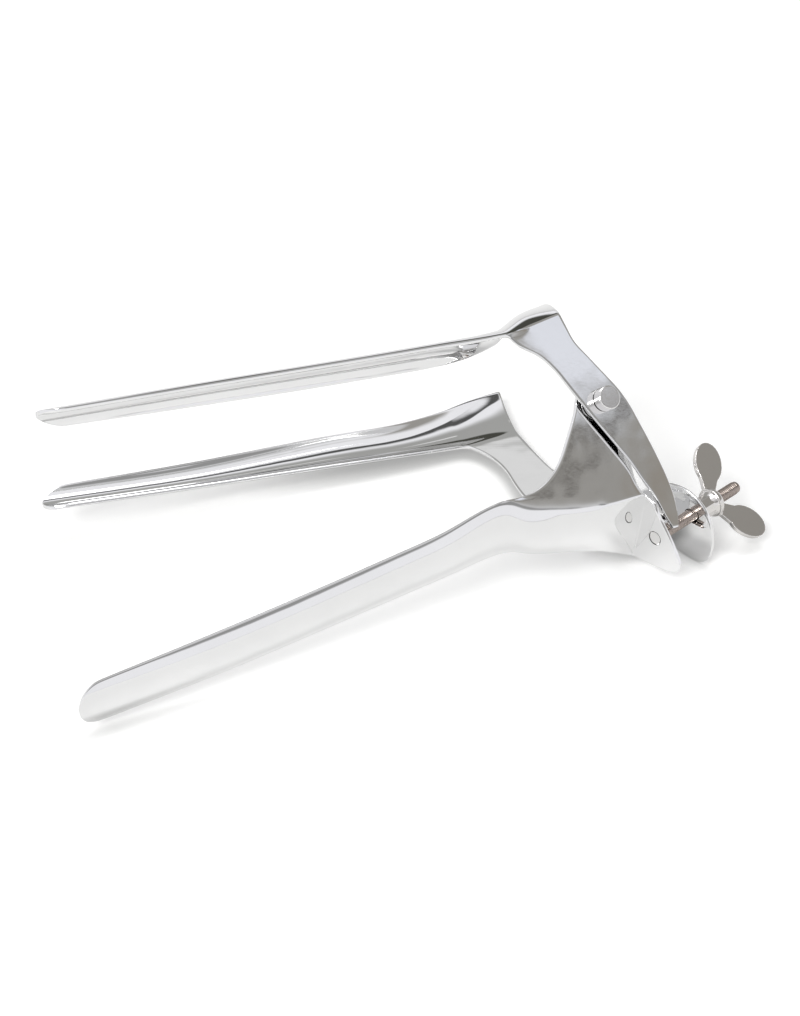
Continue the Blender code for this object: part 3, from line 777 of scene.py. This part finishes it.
def floor():
    """A pale table top with painted contact shade near the steel, lifted towards white for camera and metal.
    """
    mesh = bpy.data.meshes.new("floor")
    corners = [(-1, -1), (1, -1), (1, 1), (-1, 1)]
    points = [(x * FLOOR_HALF, y * FLOOR_HALF, -FLOOR_DROP) for x, y in corners]
    mesh.from_pydata(points, [], [(0, 1, 2, 3)])
    obj = new_object("floor", mesh)
    material = bpy.data.materials.new("pale_table")
    material.use_nodes = True
    tree = material.node_tree
    shader = tree.nodes["Principled BSDF"]
    # Painted contact shade: an occlusion node darkens the table's colour where steel lies close above it.
    hollow = tree.nodes.new("ShaderNodeAmbientOcclusion")
    hollow.samples = 8
    hollow.inputs["Distance"].default_value = CONTACT_REACH
    tone = tree.nodes.new("ShaderNodeValToRGB")
    tone.color_ramp.elements[0].position = 0.35
    tone.color_ramp.elements[0].color = PAINTED_CONTACT_SHADE
    tone.color_ramp.elements[1].position = 0.95
    tone.color_ramp.elements[1].color = FLOOR_TONE
    tree.links.new(hollow.outputs["AO"], tone.inputs["Fac"])
    tree.links.new(tone.outputs["Color"], shader.inputs["Base Color"])
    shader.inputs["Roughness"].default_value = 0.9
    shader.inputs["Specular IOR Level"].default_value = 0.1
    shader.inputs["Emission Color"].default_value = (1.0, 1.0, 1.0, 1.0)
    path = tree.nodes.new("ShaderNodeLightPath")
    spot = tree.nodes.new("ShaderNodeTexCoord")
    away = tree.nodes.new("ShaderNodeVectorMath")
    away.operation = "LENGTH"
    tree.links.new(spot.outputs["Object"], away.inputs[0])
    rise = tree.nodes.new("ShaderNodeMapRange")
    rise.interpolation_type = "SMOOTHSTEP"
    rise.inputs["From Min"].default_value = FLOOR_PLAIN
    rise.inputs["From Max"].default_value = FLOOR_WHITE
    rise.inputs["To Min"].default_value = FLOOR_LIFT
    tree.links.new(away.outputs["Value"], rise.inputs["Value"])
    lift = tree.nodes.new("ShaderNodeMath")
    lift.operation = "MULTIPLY"
    tree.links.new(path.outputs["Is Camera Ray"], lift.inputs[0])
    tree.links.new(rise.outputs["Result"], lift.inputs[1])
    shine = tree.nodes.new("ShaderNodeMath")
    shine.operation = "MULTIPLY_ADD"
    shine.inputs[1].default_value = FLOOR_SHINE
    tree.links.new(path.outputs["Is Glossy Ray"], shine.inputs[0])
    tree.links.new(lift.outputs[0], shine.inputs[2])
    tree.links.new(shine.outputs[0], shader.inputs["Emission Strength"])
    mesh.materials.append(material)


def area_light(name, place, size, power):
    light = bpy.data.lights.new(name, "AREA")
    light.shape = "RECTANGLE"
    light.size = size[0]
    light.size_y = size[1]
    light.energy = power
    obj = bpy.data.objects.new(name, light)
    bpy.context.scene.collection.objects.link(obj)
    obj.location = place
    obj.rotation_euler = (Vector(LAMP_AIM) - Vector(place)).to_track_quat("-Z", "Y").to_euler()


def angle_of(tree, operation, *sources):
    """An angle in degrees, worked out by a math node."""
    turn = tree.nodes.new("ShaderNodeMath")
    turn.operation = operation
    for socket, source in zip(turn.inputs, sources):
        tree.links.new(source, socket)
    degrees = tree.nodes.new("ShaderNodeMath")
    degrees.operation = "DEGREES"
    tree.links.new(turn.outputs[0], degrees.inputs[0])
    return degrees.outputs[0]


def window(tree, source, low, high, soft):
    """1 where the source lies between low and high, with soft sides."""
    sides = []
    for edge, values in ((low, (0.0, 1.0)), (high, (1.0, 0.0))):
        side = tree.nodes.new("ShaderNodeMapRange")
        side.interpolation_type = "SMOOTHSTEP"
        side.inputs["From Min"].default_value = edge - soft
        side.inputs["From Max"].default_value = edge + soft
        side.inputs["To Min"].default_value = values[0]
        side.inputs["To Max"].default_value = values[1]
        tree.links.new(source, side.inputs["Value"])
        sides.append(side.outputs["Result"])
    both = tree.nodes.new("ShaderNodeMath")
    both.operation = "MULTIPLY"
    tree.links.new(sides[0], both.inputs[0])
    tree.links.new(sides[1], both.inputs[1])
    return both.outputs[0]


def studio_world():
    """White to the camera; to the metal, a pale room with greyer walls and a few panels."""
    world = bpy.data.worlds.new("studio")
    bpy.context.scene.world = world
    world.use_nodes = True
    tree = world.node_tree
    tree.nodes.clear()
    place = tree.nodes.new("ShaderNodeTexCoord")
    parts = tree.nodes.new("ShaderNodeSeparateXYZ")
    tree.links.new(place.outputs["Generated"], parts.inputs[0])
    azimuth = angle_of(tree, "ARCTAN2", parts.outputs["Y"], parts.outputs["X"])
    height = angle_of(tree, "ARCSINE", parts.outputs["Z"])
    shade = tree.nodes.new("ShaderNodeRGB")
    shade.outputs[0].default_value = (*ROOM_WHITE, 1.0)
    colour = shade.outputs[0]
    for sides, levels, soft, tone in ROOM_PANELS:
        across = window(tree, azimuth, *sides, soft)
        share = tree.nodes.new("ShaderNodeMath")
        share.operation = "MULTIPLY"
        tree.links.new(across, share.inputs[0])
        tree.links.new(window(tree, height, *levels, soft), share.inputs[1])
        layer = tree.nodes.new("ShaderNodeMix")
        layer.data_type = "RGBA"
        layer.inputs[7].default_value = (*tone, 1.0)
        tree.links.new(share.outputs[0], layer.inputs[0])
        tree.links.new(colour, layer.inputs[6])
        colour = layer.outputs[2]
    room = tree.nodes.new("ShaderNodeBackground")
    tree.links.new(colour, room.inputs["Color"])
    white = tree.nodes.new("ShaderNodeBackground")
    white.inputs["Color"].default_value = (1.0, 1.0, 1.0, 1.0)
    path = tree.nodes.new("ShaderNodeLightPath")
    level = tree.nodes.new("ShaderNodeMapRange")
    level.inputs["To Min"].default_value = 1.0
    level.inputs["To Max"].default_value = ROOM_FILL
    tree.links.new(path.outputs["Is Diffuse Ray"], level.inputs["Value"])
    tree.links.new(level.outputs["Result"], room.inputs["Strength"])
    pick = tree.nodes.new("ShaderNodeMixShader")
    tree.links.new(path.outputs["Is Camera Ray"], pick.inputs["Fac"])
    tree.links.new(room.outputs[0], pick.inputs[1])
    tree.links.new(white.outputs[0], pick.inputs[2])
    out = tree.nodes.new("ShaderNodeOutputWorld")
    tree.links.new(pick.outputs[0], out.inputs["Surface"])


def camera():
    pitch = math.radians(CAMERA_PITCH)
    forward = np.array([0.0, math.cos(pitch), -math.sin(pitch)])
    upward = np.array([0.0, math.sin(pitch), math.cos(pitch)])
    aim = np.array([AIM_RIGHT, 0.0, 0.0]) + upward * AIM_UP
    data = bpy.data.cameras.new("camera")
    data.sensor_fit = "HORIZONTAL"
    data.sensor_width = SENSOR_WIDTH
    data.lens = SENSOR_WIDTH * FOCAL_PIXELS / PHOTO_WIDTH
    data.clip_start = 0.01
    obj = bpy.data.objects.new("camera", data)
    bpy.context.scene.collection.objects.link(obj)
    obj.location = in_frame(aim - forward * CAMERA_AWAY)
    obj.rotation_euler = (math.radians(90) - pitch, 0.0, 0.0)
    bpy.context.scene.camera = obj


sheet = polished_steel("polished_sheet", (0.82, 0.82, 0.82), 0.03, 0.00012, 0.0000012)
lathe = polished_steel("polished_turning", (0.78, 0.77, 0.76), 0.07, 0.00002, 0.000002)
# The darker screw steel is partly the stud's own brown steel, partly painted shade between the ears.
dark = polished_steel("screw_steel_and_painted_shade", (0.36, 0.31, 0.28), 0.16, 0.00002, 0.000003)
cast = polished_steel("polished_casting", (0.72, 0.70, 0.68), 0.08, 0.00008, 0.000002)

dress(upper_blade(), sheet, "upper_arm", "upper_blade")
dress(lower_blade(), sheet, "lower_frame", "lower_blade")
dress(side_blade(), sheet, "side_arm", "side_blade")
dress(pivot_rivet(), lathe, "lower_frame", "pivot_rivet")
pivot_place = turn_to(PLATE_RIGHT, PLATE_NORMAL, PIVOT)
pivot_ring = ring("polished_pivot_washer", PIVOT_SHANK / 2 + GAP,
                  PIVOT_HEAD / 2 + PIVOT_WASHER_RIM, GAP, pivot_place)
dress(pivot_ring, lathe, "lower_frame", "pivot_washer")
dress(hinge_rivet(), lathe, "lower_frame", "hinge_rivet")
hinge_place = turn_to(EAR_RIGHT, UP, HINGE)
hinge_ring = ring("polished_hinge_washer", HINGE_SHANK / 2 + GAP,
                  HINGE_HEAD / 2 + HINGE_WASHER_RIM, GAP, hinge_place)
dress(hinge_ring, lathe, "lower_frame", "hinge_washer")
screw = screw_core()
dress(screw, lathe, "lower_frame", "screw_stud")
darken_past_collar(screw, dark)
dress(screw_thread(dark), dark, "lower_frame", None)
seat_place = turn_to(EAR_RIGHT, SCREW_DIR, nut_seat())
dress(ring("polished_nut_washer", SCREW_DIAMETER / 2 + GAP, NUT_WASHER / 2, 0, seat_place),
      lathe, "nut_seat", "nut_washer")
dress(wing_nut(), cast, "nut", "wing_nut")

floor()
studio_world()
area_light("key", (-1.2, -2.5, 2.5), (1.5, 1.2), 98.0)
area_light("overhead", (0.3, 0.5, 3.6), (2.0, 1.6), 36.0)
camera()
bpy.context.scene.view_settings.view_transform = "Standard"
